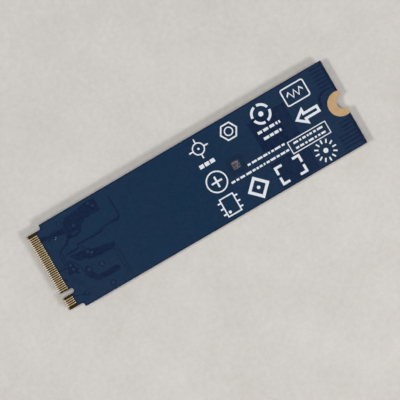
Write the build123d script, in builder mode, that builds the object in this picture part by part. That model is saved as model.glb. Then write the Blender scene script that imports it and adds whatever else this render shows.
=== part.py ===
"""M.2 solid-state drive module, 22 mm wide and 80 mm long, lying on its component side.

Sizes are in millimetres. X runs from the card-edge tongue to the mounting notch, Y runs across the board
and Z is up. The chips are under the board, and the tallest of them stand on Z = 0.
"""

import os

from build123d import *

# Board
board_length = 80.0
board_width = 22.0
board_thickness = 0.8
corner_radius = 0.2

# Card-edge tongue
tongue_length = 4.0
shoulder_width = 1.075
shoulder_radius = 0.5
bevel_run = 0.4
bevel_depth = 0.15
key_width = 1.2
key_depth = 3.5
key_offset = 6.125

# Gold contacts on both faces of the tongue
contact_pitch = 0.5
contact_width = 0.35
contact_length = 2.05
contact_thickness = 0.04
contact_margin = 0.45
contact_key_gap = 0.25

# Mounting notch at the far end
notch_radius = 1.75
plating_thickness = 0.04
pad_radius = 3.05
pad_setback = 0.9

# Room between neighbouring parts, and from the shoulder and the long edges to the nearest part
part_gap = 0.6
component_setback = 2.3
edge_setback = 1.5

# Ball-grid packages: seated height is from the board to the package's outer face
controller_length = 12.0
controller_width = 12.0
controller_height = 1.2
controller_ball_pitch = 0.65
controller_ball_radius = 0.17
controller_ball_margin = 0.55
flash_length = 14.0
flash_width = 18.0
flash_height = 1.2
flash_ball_pitch = 1.0
flash_ball_radius = 0.24
flash_ball_margin = 1.4
ball_height = 0.25
ball_rings = 2
ball_sides = 6
dimple_radius = 0.4
dimple_depth = 0.05
dimple_inset = 1.0

# Leadless packages: power manager and input switch
manager_size = 4.0
manager_height = 0.8
switch_size = 2.0
switch_height = 0.65
land_pitch = 0.5
land_width = 0.26
land_length = 0.4
land_thickness = 0.05
manager_land_margin = 0.45
switch_land_margin = 0.3
heat_pad_gap = 0.3

# Moulded power inductors
inductor_length = 2.5
inductor_width = 2.0
inductor_height = 1.0
inductor_radius = 0.2
inductor_pairs = 2
terminal_width = 1.6
terminal_foot = 0.6
terminal_rise = 0.55
terminal_thickness = 0.08

# Chip capacitors and resistors: end caps wrap each body and stand a little proud of it
cap_wrap = 0.03
bulk_length = 2.0
bulk_width = 1.25
bulk_height = 0.85
bulk_cap = 0.45
decoupling_length = 1.0
decoupling_width = 0.5
decoupling_height = 0.5
decoupling_cap = 0.25
coupling_length = 0.6
coupling_width = 0.3
coupling_height = 0.3
coupling_cap = 0.15
coupling_gap = 0.2
resistor_length = 1.0
resistor_width = 0.5
resistor_height = 0.32
resistor_cap = 0.2
resistor_count = 6
chip_gap = 0.4

# Crystal
crystal_length = 2.5
crystal_width = 2.0
crystal_base_height = 0.4
crystal_lid_thickness = 0.12
crystal_lid_inset = 0.15
crystal_lid_radius = 0.25
crystal_pad_length = 0.7
crystal_pad_width = 0.6

# Transmit pairs of the connector, counted in contacts from the +Y end of the front row
lane_count = 4
contacts_per_lane = 6
contacts_before_lanes = 5

# Heights: the tallest part sets how far the board stands above Z = 0
crystal_height = land_thickness + crystal_base_height + crystal_lid_thickness
part_heights = (
    controller_height,
    flash_height,
    manager_height,
    switch_height,
    inductor_height,
    bulk_height,
    decoupling_height,
    coupling_height,
    resistor_height,
    crystal_height,
)
board_bottom = max(part_heights)
board_top = board_bottom + board_thickness

# Places along the board, worked out from the tongue towards the middle
tongue_end = -board_length / 2
far_end = board_length / 2
shoulder_x = tongue_end + tongue_length
tongue_width = board_width - 2 * shoulder_width
first_part_x = shoulder_x + component_setback
coupling_x = first_part_x + coupling_length / 2
entry_start = first_part_x + coupling_length + part_gap
entry_depth = max(switch_size, resistor_length)
entry_x = entry_start + entry_depth / 2
power_start = entry_start + entry_depth + part_gap
power_depth = max(manager_size, inductor_length)
power_x = power_start + power_depth / 2
bulk_start = power_start + power_depth + part_gap
bulk_x = bulk_start + bulk_width / 2
controller_start = bulk_start + bulk_width + part_gap
controller_x = controller_start + controller_length / 2
behind_controller_x = controller_start + controller_length + part_gap + decoupling_length / 2
crystal_x = behind_controller_x + decoupling_length / 2 + part_gap + crystal_length / 2

# Places along the board, worked out from the mounting pad towards the middle
pad_x = far_end - pad_setback
behind_flash_x = pad_x - pad_radius - part_gap - decoupling_width / 2
flash_x = behind_flash_x - decoupling_width / 2 - part_gap - flash_length / 2
before_flash_x = flash_x - flash_length / 2 - part_gap - decoupling_width / 2

# Places across the board
switch_y = board_width / 2 - edge_setback - switch_size / 2
crystal_y = -(controller_width - crystal_width) / 2
power_step = max(inductor_width, bulk_length) + part_gap
manager_half_step = (manager_size + max(inductor_width, bulk_length)) / 2 + part_gap
power_ys = [
    side * (manager_half_step + step * power_step)
    for side in (1, -1)
    for step in range(inductor_pairs)
]

hang = (Align.CENTER, Align.CENTER, Align.MAX)


def row_of(count, pitch):
    """Places of a row of parts about zero."""
    return [(index - (count - 1) / 2) * pitch for index in range(count)]


def count_in(span, pitch):
    """How many parts at a pitch fit with their centres within a span."""
    return int(span / pitch + 1e-6) + 1


def clear_of_key(rows):
    """The contact places that the key slot leaves whole."""
    reach = key_width / 2 + contact_key_gap + contact_width / 2
    return [y for y in rows if abs(y + key_offset) > reach]


front_count = count_in(tongue_width - contact_width - 2 * contact_margin, contact_pitch)
front_row = row_of(front_count, contact_pitch)
back_row = row_of(front_count - 1, contact_pitch)
lane_ys = [
    front_row[-1 - contacts_before_lanes - lane * contacts_per_lane] - contact_pitch / 2
    for lane in range(lane_count)
]


with BuildPart() as circuit_board:
    with BuildSketch(Plane.XY.offset(board_bottom)) as outline:
        with Locations((shoulder_x, 0)):
            Rectangle(board_length - tongue_length, board_width, align=(Align.MIN, Align.CENTER))
        with Locations((tongue_end, 0)):
            Rectangle(board_length / 2, tongue_width, align=(Align.MIN, Align.CENTER))
        shoulder_corners = outline.vertices().sort_by(Axis.X)[2:6].sort_by(Axis.Y)
        fillet(shoulder_corners[1:3], min(shoulder_radius, shoulder_width / 2))
        outer_corners = [
            corner for corner in outline.vertices() if abs(abs(corner.Y) - board_width / 2) < 1e-6
        ]
        fillet(outer_corners, corner_radius)
        fillet(outline.vertices().sort_by(Axis.X)[:2], corner_radius)
        with Locations((tongue_end, -key_offset)):
            Rectangle(2 * key_depth - key_width, key_width, mode=Mode.SUBTRACT)
        with Locations((tongue_end + key_depth - key_width / 2, -key_offset)):
            Circle(key_width / 2, mode=Mode.SUBTRACT)
        with Locations((far_end, 0)):
            Circle(notch_radius + plating_thickness, mode=Mode.SUBTRACT)
    extrude(amount=board_thickness)
    # The bevel on both faces that leads the tongue into its socket
    with BuildSketch(Plane.XZ) as bevel:
        for face, inward in ((board_top, -1), (board_bottom, 1)):
            with BuildLine():
                Polyline(
                    (tongue_end, face),
                    (tongue_end + bevel_run, face),
                    (tongue_end, face + inward * bevel_depth),
                    close=True,
                )
            make_face()
    extrude(amount=board_width, both=True, mode=Mode.SUBTRACT)


def contact_row(face, outward, rows):
    """Flat contacts on one face of the tongue, their noses cut by the same bevel as the board."""
    start = tongue_end + bevel_run
    nose = contact_thickness * bevel_run / bevel_depth
    outer_face = face + outward * contact_thickness
    with BuildPart() as contacts:
        with BuildSketch(Plane.XZ):
            with BuildLine():
                Polyline(
                    (start, face),
                    (start + contact_length, face),
                    (start + contact_length, outer_face),
                    (start + nose, outer_face),
                    close=True,
                )
            make_face()
        extrude(amount=board_width, both=True)
        with BuildSketch(Plane.XY.offset(face)):
            with Locations(*[(start, y) for y in clear_of_key(rows)]):
                Rectangle(contact_length, contact_width, align=(Align.MIN, Align.CENTER))
        extrude(amount=outward * contact_thickness, mode=Mode.INTERSECT)
    return contacts.part


back_contacts = contact_row(board_top, 1, back_row)
front_contacts = contact_row(board_bottom, -1, front_row)


with BuildPart() as castellation_plating:
    for level, height in (
        (board_bottom - plating_thickness, plating_thickness),
        (board_top, plating_thickness),
    ):
        with BuildSketch(Plane.XY.offset(level)):
            with Locations((pad_x, 0)):
                Circle(pad_radius)
            with Locations((far_end, 0)):
                Rectangle(board_length, board_width, align=(Align.MAX, Align.CENTER), mode=Mode.INTERSECT)
                Circle(notch_radius, mode=Mode.SUBTRACT)
        extrude(amount=height)
    with BuildSketch(Plane.XY.offset(board_bottom)):
        with Locations((far_end, 0)):
            Circle(notch_radius + plating_thickness)
            Rectangle(board_length, board_width, align=(Align.MAX, Align.CENTER), mode=Mode.INTERSECT)
            Circle(notch_radius, mode=Mode.SUBTRACT)
    extrude(amount=board_thickness)


def grid_package(x, length, width, height):
    """A moulded ball-grid package with a shallow round dimple at its first corner."""
    outer_face = Plane.XY.offset(board_bottom - height)
    with BuildPart() as package:
        with BuildSketch(outer_face):
            with Locations((x, 0)):
                Rectangle(length, width)
        extrude(amount=height - ball_height)
        with BuildSketch(outer_face):
            with Locations((x - length / 2 + dimple_inset, width / 2 - dimple_inset)):
                Circle(dimple_radius)
        extrude(amount=dimple_depth, mode=Mode.SUBTRACT)
    return package.part


def solder_balls(x, length, width, pitch, radius, margin):
    """The outer rings of a package's ball grid."""
    columns = count_in(length - 2 * margin, pitch)
    rows = count_in(width - 2 * margin, pitch)
    places = [
        (x + row_of(columns, pitch)[i], row_of(rows, pitch)[j])
        for i in range(columns)
        for j in range(rows)
        if min(i, j, columns - 1 - i, rows - 1 - j) < ball_rings
    ]
    with BuildPart() as balls:
        with BuildSketch(Plane.XY.offset(board_bottom - ball_height)):
            with Locations(*places):
                RegularPolygon(radius, ball_sides)
        extrude(amount=ball_height)
    return balls.part


controller_package = grid_package(controller_x, controller_length, controller_width, controller_height)
controller_solder_balls = solder_balls(
    controller_x,
    controller_length,
    controller_width,
    controller_ball_pitch,
    controller_ball_radius,
    controller_ball_margin,
)
flash_package = grid_package(flash_x, flash_length, flash_width, flash_height)
flash_solder_balls = solder_balls(
    flash_x, flash_length, flash_width, flash_ball_pitch, flash_ball_radius, flash_ball_margin
)


def leadless_body(x, y, size, height):
    """A square moulded package that stands on its lands."""
    with BuildPart() as body:
        with Locations((x, y, board_bottom - land_thickness)):
            Box(size, size, height - land_thickness, align=hang)
    return body.part


def leadless_lands(x, y, size, margin, turns):
    """Lands along the sides of a leadless package that the turns name, and the heat pad in the middle."""
    row = row_of(count_in(size - 2 * margin - land_width, land_pitch), land_pitch)
    heat_pad = size - 2 * land_length - 2 * heat_pad_gap
    with BuildPart() as lands:
        with BuildSketch(Plane.XY.offset(board_bottom - land_thickness)):
            for turn in turns:
                with Locations(Location((x, y), turn)):
                    with Locations(*[(size / 2, place) for place in row]):
                        Rectangle(land_length, land_width, align=(Align.MAX, Align.CENTER))
            with Locations((x, y)):
                Rectangle(heat_pad, heat_pad)
        extrude(amount=land_thickness)
    return lands.part


power_manager = leadless_body(power_x, 0, manager_size, manager_height)
power_manager_lands = leadless_lands(power_x, 0, manager_size, manager_land_margin, (0, 90, 180, 270))
input_switch = leadless_body(entry_x, switch_y, switch_size, switch_height)
input_switch_lands = leadless_lands(entry_x, switch_y, switch_size, switch_land_margin, (0, 180))


def power_inductor(y):
    """A moulded inductor with rounded corners, held between its two terminals."""
    with BuildPart() as inductor:
        with BuildSketch(Plane.XY.offset(board_bottom - terminal_thickness)):
            with Locations((power_x, y)):
                RectangleRounded(inductor_length - 2 * terminal_thickness, inductor_width, inductor_radius)
        extrude(amount=-(inductor_height - terminal_thickness))
    return inductor.part


power_inductors = [power_inductor(y) for y in power_ys]


with BuildPart() as inductor_terminals:
    # Each terminal is a bent strip: a foot on the board and a rise up the end of the body
    for y in power_ys:
        with BuildSketch(Plane.XZ.offset(-y)):
            for side in (1, -1):
                end = power_x + side * inductor_length / 2
                with BuildLine():
                    Polyline(
                        (end, board_bottom),
                        (end, board_bottom - terminal_rise),
                        (end - side * terminal_thickness, board_bottom - terminal_rise),
                        (end - side * terminal_thickness, board_bottom - terminal_thickness),
                        (end - side * terminal_foot, board_bottom - terminal_thickness),
                        (end - side * terminal_foot, board_bottom),
                        close=True,
                    )
                make_face()
        extrude(amount=terminal_width / 2, both=True)


def chip_bodies(places, length, width, height, cap):
    """Ceramic bodies of chip parts, between their end caps."""
    with BuildPart() as bodies:
        with Locations(*places):
            with Locations((0, 0, -cap_wrap)):
                Box(length - 2 * cap, width - 2 * cap_wrap, height - 2 * cap_wrap, align=hang)
    return bodies.part


def chip_caps(places, length, width, height, cap):
    """The metal end caps of chip parts, seated on the board."""
    with BuildPart() as caps:
        with Locations(*places):
            with Locations(((length - cap) / 2, 0), ((cap - length) / 2, 0)):
                Box(cap, width, height, align=hang)
    return caps.part


def chip_at(x, y, turn):
    """The place of a chip part under the board, its length along X before it is turned."""
    return Location((x, y, board_bottom), (0, 0, turn))


bulk_places = [chip_at(bulk_x, y, 90) for y in power_ys]
bulk_size = (bulk_length, bulk_width, bulk_height, bulk_cap)
bulk_capacitors = [chip_bodies([place], *bulk_size) for place in bulk_places]
bulk_capacitor_terminals = chip_caps(bulk_places, *bulk_size)

coupling_step = coupling_width + coupling_gap
coupling_places = [
    chip_at(coupling_x, y + half * coupling_step / 2, 0) for y in lane_ys for half in (1, -1)
]
coupling_size = (coupling_length, coupling_width, coupling_height, coupling_cap)
coupling_capacitors = chip_bodies(coupling_places, *coupling_size)
coupling_terminals = chip_caps(coupling_places, *coupling_size)

resistor_step = resistor_width + chip_gap
first_resistor_y = edge_setback + resistor_width / 2 - board_width / 2
resistor_places = [
    chip_at(entry_x, first_resistor_y + index * resistor_step, 0) for index in range(resistor_count)
]
resistor_size = (resistor_length, resistor_width, resistor_height, resistor_cap)
resistor_bodies = chip_bodies(resistor_places, *resistor_size)
resistor_terminals = chip_caps(resistor_places, *resistor_size)

with BuildPart() as resistor_overcoats:
    # The dark glaze over the film, level with the end caps
    with Locations(*resistor_places):
        with Locations((0, 0, cap_wrap - resistor_height)):
            Box(resistor_length - 2 * resistor_cap, resistor_width - 2 * cap_wrap, cap_wrap, align=hang)

side_step = decoupling_width + part_gap
end_step = decoupling_length + part_gap
beside_y = (controller_width + decoupling_length) / 2 + part_gap
beside_row = row_of(count_in(controller_length - decoupling_width, side_step), side_step)
behind_row = row_of(count_in(controller_width - decoupling_width, side_step), side_step)
flash_row = row_of(count_in(flash_width - decoupling_length, end_step), end_step)
decoupling_places = [
    chip_at(controller_x + x, side * beside_y, 90) for side in (1, -1) for x in beside_row
]
decoupling_places += [chip_at(behind_controller_x, y, 0) for y in behind_row]
decoupling_places += [chip_at(x, y, 90) for x in (before_flash_x, behind_flash_x) for y in flash_row]
decoupling_size = (decoupling_length, decoupling_width, decoupling_height, decoupling_cap)
decoupling_capacitors = chip_bodies(decoupling_places, *decoupling_size)
decoupling_terminals = chip_caps(decoupling_places, *decoupling_size)


with BuildPart() as crystal_pads:
    with BuildSketch(Plane.XY.offset(board_bottom - land_thickness)):
        with Locations((crystal_x, crystal_y)):
            with GridLocations(crystal_length - crystal_pad_length, crystal_width - crystal_pad_width, 2, 2):
                Rectangle(crystal_pad_length, crystal_pad_width)
    extrude(amount=land_thickness)

with BuildPart() as crystal_base:
    with Locations((crystal_x, crystal_y, board_bottom - land_thickness)):
        Box(crystal_length, crystal_width, crystal_base_height, align=hang)

with BuildPart() as crystal_lid:
    with BuildSketch(Plane.XY.offset(board_bottom - land_thickness - crystal_base_height)):
        with Locations((crystal_x, crystal_y)):
            RectangleRounded(
                crystal_length - 2 * crystal_lid_inset,
                crystal_width - 2 * crystal_lid_inset,
                crystal_lid_radius,
            )
    extrude(amount=-crystal_lid_thickness)


pieces = {
    "circuit_board": circuit_board.part,
    "back_contacts": back_contacts,
    "front_contacts": front_contacts,
    "castellation_plating": castellation_plating.part,
    "controller_package": controller_package,
    "controller_solder_balls": controller_solder_balls,
    "flash_package": flash_package,
    "flash_solder_balls": flash_solder_balls,
    "power_manager": power_manager,
    "power_manager_lands": power_manager_lands,
    "input_switch": input_switch,
    "input_switch_lands": input_switch_lands,
    "inductor_terminals": inductor_terminals.part,
    "bulk_capacitor_terminals": bulk_capacitor_terminals,
    "coupling_capacitors": coupling_capacitors,
    "coupling_terminals": coupling_terminals,
    "resistor_bodies": resistor_bodies,
    "resistor_overcoats": resistor_overcoats.part,
    "resistor_terminals": resistor_terminals,
    "decoupling_capacitors": decoupling_capacitors,
    "decoupling_terminals": decoupling_terminals,
    "crystal_base": crystal_base.part,
    "crystal_lid": crystal_lid.part,
    "crystal_pads": crystal_pads.part,
}
for number, inductor in enumerate(power_inductors, start=1):
    pieces[f"power_inductor_{number}"] = inductor
for number, capacitor in enumerate(bulk_capacitors, start=1):
    pieces[f"bulk_capacitor_{number}"] = capacitor

os.makedirs("parts", exist_ok=True)
for name, piece in pieces.items():
    piece.label = name
    export_step(piece, f"parts/{name}.step")
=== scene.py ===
import math
import random

import bmesh
import bpy
from mathutils import Matrix, Vector


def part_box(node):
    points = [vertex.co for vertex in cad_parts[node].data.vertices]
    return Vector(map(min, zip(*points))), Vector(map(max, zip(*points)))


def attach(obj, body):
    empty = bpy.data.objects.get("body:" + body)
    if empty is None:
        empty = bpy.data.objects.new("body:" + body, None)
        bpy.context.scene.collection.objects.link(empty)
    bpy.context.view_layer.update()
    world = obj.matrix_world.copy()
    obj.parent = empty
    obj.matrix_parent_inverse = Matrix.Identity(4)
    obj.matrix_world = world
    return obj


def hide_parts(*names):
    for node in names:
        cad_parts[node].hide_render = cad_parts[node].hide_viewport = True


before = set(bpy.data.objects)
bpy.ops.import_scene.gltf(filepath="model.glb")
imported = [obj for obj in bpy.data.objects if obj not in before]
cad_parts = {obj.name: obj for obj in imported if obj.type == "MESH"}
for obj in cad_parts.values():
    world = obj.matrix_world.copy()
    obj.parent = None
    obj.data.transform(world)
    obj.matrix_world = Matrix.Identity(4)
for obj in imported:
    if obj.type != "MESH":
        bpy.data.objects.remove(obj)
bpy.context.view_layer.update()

# Millimetres are this script's working unit, and pieces are scaled to metres when they are finished
MM = 0.001


def node_box(node):
    """Lowest and highest corner of a CAD node, in millimetres."""
    low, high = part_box(node)
    return low / MM, high / MM


def solids_of(name):
    """The box of each separate solid of a CAD node, in millimetres."""
    bm = bmesh.new()
    bm.from_mesh(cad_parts[name].data)
    bmesh.ops.remove_doubles(bm, verts=bm.verts[:], dist=1e-7)
    boxes = []
    seen = set()
    for start in bm.verts:
        if start in seen:
            continue
        seen.add(start)
        group = [start]
        for vert in group:
            for edge in vert.link_edges:
                other = edge.other_vert(vert)
                if other not in seen:
                    seen.add(other)
                    group.append(other)
        low = Vector(min(vert.co[axis] for vert in group) for axis in range(3)) / MM
        high = Vector(max(vert.co[axis] for vert in group) for axis in range(3)) / MM
        boxes.append((low, high))
    bm.free()
    return boxes


# The board as the frame gives it: s is the way from the tongue's end, t the way from the +Y edge
board_low, board_high = node_box("circuit_board")
contact_high = node_box("back_contacts")[1]
land_low, land_high = node_box("castellation_plating")
BOARD_LENGTH = board_high.x - board_low.x
BOARD_WIDTH = board_high.y - board_low.y
BACK = board_high.z
FRONT = board_low.z

# Tongue and notch
TONGUE_LENGTH = 4.0
SHOULDER = 1.075
KEY_T = 17.125
KEY_DEPTH = 3.5
KEY_WIDTH = 1.2
CONTACT_END = contact_high.x - board_low.x
CONTACT_PITCH = 0.5
BEVEL_RUN = 0.4
BEVEL_DEPTH = 0.15
LAND_RADIUS = (land_high.y - land_low.y) / 2
LAND_S = land_low.x + LAND_RADIUS - board_low.x
LAND_T = BOARD_WIDTH / 2

# Films on the faces of the board: their thickness, where they stop and how they are cut
COPPER = 0.025
INK = 0.014
MASK_START = CONTACT_END + 0.2
COPPER_TO_EDGE = 0.3
COPPER_TO_END = 0.7
COPPER_TO_BARE = 0.12
CUT_DEPTH = 0.2
SLIVER = 0.002

# Fine copper lines on both faces
LINE_PITCH = 0.34
LINE_WIDTH = 0.13


def at(s, t, z):
    """The point s from the tongue's end and t from the +Y edge, at a height."""
    return Vector((board_low.x + s, board_high.y - t, z))


def place_of(box):
    """The middle of a box as (s, t)."""
    middle = (box[0] + box[1]) / 2
    return middle.x - board_low.x, board_high.y - middle.y


class Sheet:
    """A drawing of flat shapes at one height, with its places given as (s, t)."""

    def __init__(self, level):
        self.bm = bmesh.new()
        self.level = level

    def spot(self, s, t):
        return at(s, t, self.level)

    def polygon(self, corners):
        """A flat face through its corners."""
        face = self.bm.faces.new([self.bm.verts.new(self.spot(s, t)) for s, t in corners])
        face.normal_update()
        return face

    def circle(self, middle, turn, radius, sides):
        """The points of a flat round face."""
        place = Matrix.Translation(middle) @ Matrix.Rotation(turn, 4, "Z")
        made = bmesh.ops.create_circle(self.bm, cap_ends=True, segments=sides, radius=radius, matrix=place)
        return made["verts"]

    def slot(self, start, end, width, sides=16):
        """A flat face with round ends from one spot to another."""
        begin = self.spot(*start)
        way = self.spot(*end) - begin
        verts = self.circle(begin, math.atan2(way.y, way.x) + math.pi / sides, width / 2, sides)
        ahead = [vert for vert in verts if (vert.co - begin).dot(way) > 0]
        bmesh.ops.translate(self.bm, verts=ahead, vec=way)

    def disc(self, s, t, radius, sides=24):
        """A flat round face, or a regular polygon with few sides."""
        return self.circle(self.spot(s, t), math.pi / sides, radius, sides)[0].link_faces[0]

    def bar(self, s, t, length, width, turn=0.0):
        """A flat rectangle about its middle, turned by an angle."""
        place = (
            Matrix.Translation(self.spot(s, t))
            @ Matrix.Rotation(turn, 4, "Z")
            @ Matrix.Diagonal((length, width, 1.0, 1.0))
        )
        made = bmesh.ops.create_grid(self.bm, x_segments=1, y_segments=1, size=0.5, matrix=place)
        return made["verts"][0].link_faces[0]

    def rounded(self, face, radius):
        """Rounds the corners of a flat face and gives the face that is left."""
        made = bmesh.ops.bevel(
            self.bm, geom=list(face.verts), affect="VERTICES", offset=radius, offset_type="OFFSET",
            segments=4, profile=0.5, material=-1,
        )
        return made["verts"][0].link_faces[0]

    def hollow(self, face, width):
        """Leaves a border of the given width of a flat face."""
        bmesh.ops.inset_region(
            self.bm, faces=[face], thickness=width, use_boundary=True, use_even_offset=True
        )
        bmesh.ops.delete(self.bm, geom=[face], context="FACES")

    def ring(self, s, t, radius, width, sides=40):
        """A flat ring, measured to its outer edge."""
        self.hollow(self.disc(s, t, radius, sides), width)

    def trench(self, width, *spots):
        """A row of round-ended runs through the spots."""
        for start, end in zip(spots, spots[1:]):
            self.slot(start, end, width)

    def band(self, middle, width, offset=0.0):
        """A flat bent strip along a row of spots, or beside it."""
        upper = [(s, t + offset - width / 2) for s, t in middle]
        lower = [(s, t + offset + width / 2) for s, t in reversed(middle)]
        self.polygon(upper + lower)

    def raised(self, height):
        """Gives every flat shape a thickness, and returns the closed solids."""
        grown = bmesh.ops.extrude_face_region(self.bm, geom=self.bm.faces[:])
        risen = [part for part in grown["geom"] if isinstance(part, bmesh.types.BMVert)]
        bmesh.ops.translate(self.bm, verts=risen, vec=(0.0, 0.0, height))
        bmesh.ops.recalc_face_normals(self.bm, faces=self.bm.faces[:])
        return self.bm


def new_mesh(name, bm):
    """A finished bmesh as a mesh."""
    mesh = bpy.data.meshes.new(name)
    bm.to_mesh(mesh)
    bm.free()
    return mesh


def stamp(bm, shape, place):
    """Adds a copy of a small shape at a place."""
    copy = shape.copy()
    copy.transform(Matrix.Translation(place))
    bm.from_mesh(copy)
    bpy.data.meshes.remove(copy)


def new_object(name, data):
    """A mesh, lamp or camera as an object of the scene."""
    made = bpy.data.objects.new(name, data)
    bpy.context.scene.collection.objects.link(made)
    return made


def add_piece(name, bm, finish, smooth=False):
    """Scales a finished bmesh to metres and makes it a piece of the drive."""
    bm.transform(Matrix.Scale(MM, 4))
    piece = new_object(name, new_mesh(name, bm))
    piece.data.materials.append(finish)
    if smooth:
        piece.data.polygons.foreach_set("use_smooth", [True] * len(piece.data.polygons))
    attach(piece, "root")
    return piece


def cut_away(bm, tools):
    """The solids of one bmesh less those of another."""
    film = new_object("film", new_mesh("film", bm))
    cutter = new_object("cut", new_mesh("cut", tools))
    boolean = film.modifiers.new("windows", "BOOLEAN")
    boolean.operation = "DIFFERENCE"
    boolean.solver = "EXACT"
    boolean.use_self = True
    boolean.object = cutter
    bpy.context.view_layer.update()
    evaluated = film.evaluated_get(bpy.context.evaluated_depsgraph_get())
    result = bmesh.new()
    result.from_mesh(evaluated.to_mesh())
    evaluated.to_mesh_clear()
    bmesh.ops.remove_doubles(result, verts=result.verts[:], dist=SLIVER)
    bmesh.ops.dissolve_degenerate(result, edges=result.edges[:], dist=SLIVER)
    for scratch in (film, cutter):
        mesh = scratch.data
        bpy.data.objects.remove(scratch)
        bpy.data.meshes.remove(mesh)
    return result


# Finishes


class Finish:
    """A procedural material whose patterns follow Object coordinates, with sizes in millimetres."""

    def __init__(self, name, roughness, metallic=0.0, specular=0.5):
        self.material = bpy.data.materials.new(name)
        self.material.use_nodes = True
        self.nodes = self.material.node_tree.nodes
        self.links = self.material.node_tree.links
        self.shader = self.nodes["Principled BSDF"]
        self.shader.inputs["Roughness"].default_value = roughness
        self.shader.inputs["Metallic"].default_value = metallic
        self.shader.inputs["Specular IOR Level"].default_value = specular
        self.place = self.nodes.new("ShaderNodeTexCoord").outputs["Object"]

    def feed(self, socket, value):
        """Links or sets an input."""
        if isinstance(value, bpy.types.NodeSocket):
            self.links.new(value, socket)
        elif socket.type == "RGBA":
            socket.default_value = (*value, 1.0)
        else:
            socket.default_value = value

    def noise(self, size, detail=2.0, rough=0.5, stretch=(1.0, 1.0, 1.0)):
        """Soft blotches of about the given size."""
        mapping = self.nodes.new("ShaderNodeMapping")
        mapping.inputs["Scale"].default_value = stretch
        self.links.new(self.place, mapping.inputs["Vector"])
        texture = self.nodes.new("ShaderNodeTexNoise")
        texture.inputs["Scale"].default_value = 1.0 / (size * MM)
        texture.inputs["Detail"].default_value = detail
        texture.inputs["Roughness"].default_value = rough
        self.links.new(mapping.outputs["Vector"], texture.inputs["Vector"])
        return texture.outputs["Fac"]

    def grains(self, size):
        """Random cells of about the given size, each with one value."""
        texture = self.nodes.new("ShaderNodeTexVoronoi")
        texture.inputs["Scale"].default_value = 1.0 / (size * MM)
        self.links.new(self.place, texture.inputs["Vector"])
        separate = self.nodes.new("ShaderNodeSeparateColor")
        self.links.new(texture.outputs["Color"], separate.inputs["Color"])
        return separate.outputs["Red"]

    def spread(self, value, low, high, to_low=0.0, to_high=1.0):
        """Maps a value from one range to another, and stops at its ends."""
        mapped = self.nodes.new("ShaderNodeMapRange")
        for socket, number in zip(mapped.inputs[:5], (value, low, high, to_low, to_high)):
            self.feed(socket, number)
        return mapped.outputs["Result"]

    def mottle(self, size, detail=3.0, rough=0.5, stretch=(1.0, 1.0, 1.0), low=0.0, high=1.0):
        """Blotches that run from one value to another."""
        return self.spread(self.noise(size, detail, rough, stretch), 0.3, 0.7, low, high)

    def mix(self, factor, first, second):
        """A colour between two."""
        node = self.nodes.new("ShaderNodeMix")
        node.data_type = "RGBA"
        self.feed(node.inputs["Factor"], factor)
        colours = [socket for socket in node.inputs if socket.type == "RGBA"]
        self.feed(colours[0], first)
        self.feed(colours[1], second)
        return next(socket for socket in node.outputs if socket.type == "RGBA")

    def maths(self, operation, first, second=0.0):
        """One or two values put through a maths operation."""
        node = self.nodes.new("ShaderNodeMath")
        node.operation = operation
        self.feed(node.inputs[0], first)
        self.feed(node.inputs[1], second)
        return node.outputs[0]

    def axis(self, name, vector=None):
        """One part of a vector, or else one Object coordinate in metres."""
        separate = self.nodes.new("ShaderNodeSeparateXYZ")
        self.links.new(vector or self.place, separate.inputs[0])
        return separate.outputs[name]

    def distance(self, axis, middle):
        """How far a point is from the middle along an axis, in metres."""
        return self.maths("ABSOLUTE", self.maths("SUBTRACT", self.axis(axis), middle * MM))

    def level_share(self, limit):
        """One on faces nearer to level than a limit, which is zero for walls and one for level faces."""
        normal = self.nodes.new("ShaderNodeNewGeometry").outputs["True Normal"]
        return self.maths("GREATER_THAN", self.maths("ABSOLUTE", self.axis("Z", normal)), limit)

    def colour(self, value):
        self.feed(self.shader.inputs["Base Color"], value)

    def roughness(self, value):
        self.feed(self.shader.inputs["Roughness"], value)

    def bump(self, height, depth, strength=1.0):
        """Relief of a depth in millimetres."""
        node = self.nodes.new("ShaderNodeBump")
        node.inputs["Strength"].default_value = strength
        node.inputs["Distance"].default_value = depth * MM
        self.links.new(height, node.inputs["Height"])
        self.links.new(node.outputs["Normal"], self.shader.inputs["Normal"])


# The mask is bluest at one x, and a painted sheen turns it redder between two distances from it
SHEEN_LEAST_X = -8.0
SHEEN_FROM = 12.0
SHEEN_FULL_FROM = 36.0
SHEEN_TINT = Vector((1.25, 1.04, 1.03))
MASK_DARK = 0.62
MASK_GRAIN = 0.8


def mask_look(finish, plain, shifted):
    """Blue lacquer: slow drifts of colour, a painted sheen that makes the ends redder, fine grain and a
    little orange peel.
    """
    drift = finish.spread(finish.noise(5.0, 3.0), 0.35, 0.65)
    # Painted sheen: the mask turns redder towards both ends of the board
    ends = finish.spread(finish.distance("X", SHEEN_LEAST_X), SHEEN_FROM * MM, SHEEN_FULL_FROM * MM)
    tone_and_sheen = finish.mix(ends, finish.mix(drift, plain, shifted), tuple(SHEEN_TINT * Vector(shifted)))
    grain = finish.mottle(0.7, 4.0, 0.65)
    finish.roughness(finish.mottle(1.4, 2.0, low=0.24, high=0.31))
    finish.bump(finish.noise(0.5), 0.003)
    return finish.mix(finish.maths("MULTIPLY", grain, MASK_GRAIN), tone_and_sheen, tuple(MASK_DARK * Vector(plain)))


def mask_over_copper(name, plain, shifted):
    """Mask where copper lies under it."""
    finish = Finish(name, 0.27, specular=0.05)
    finish.colour(mask_look(finish, plain, shifted))
    return finish.material


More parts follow.
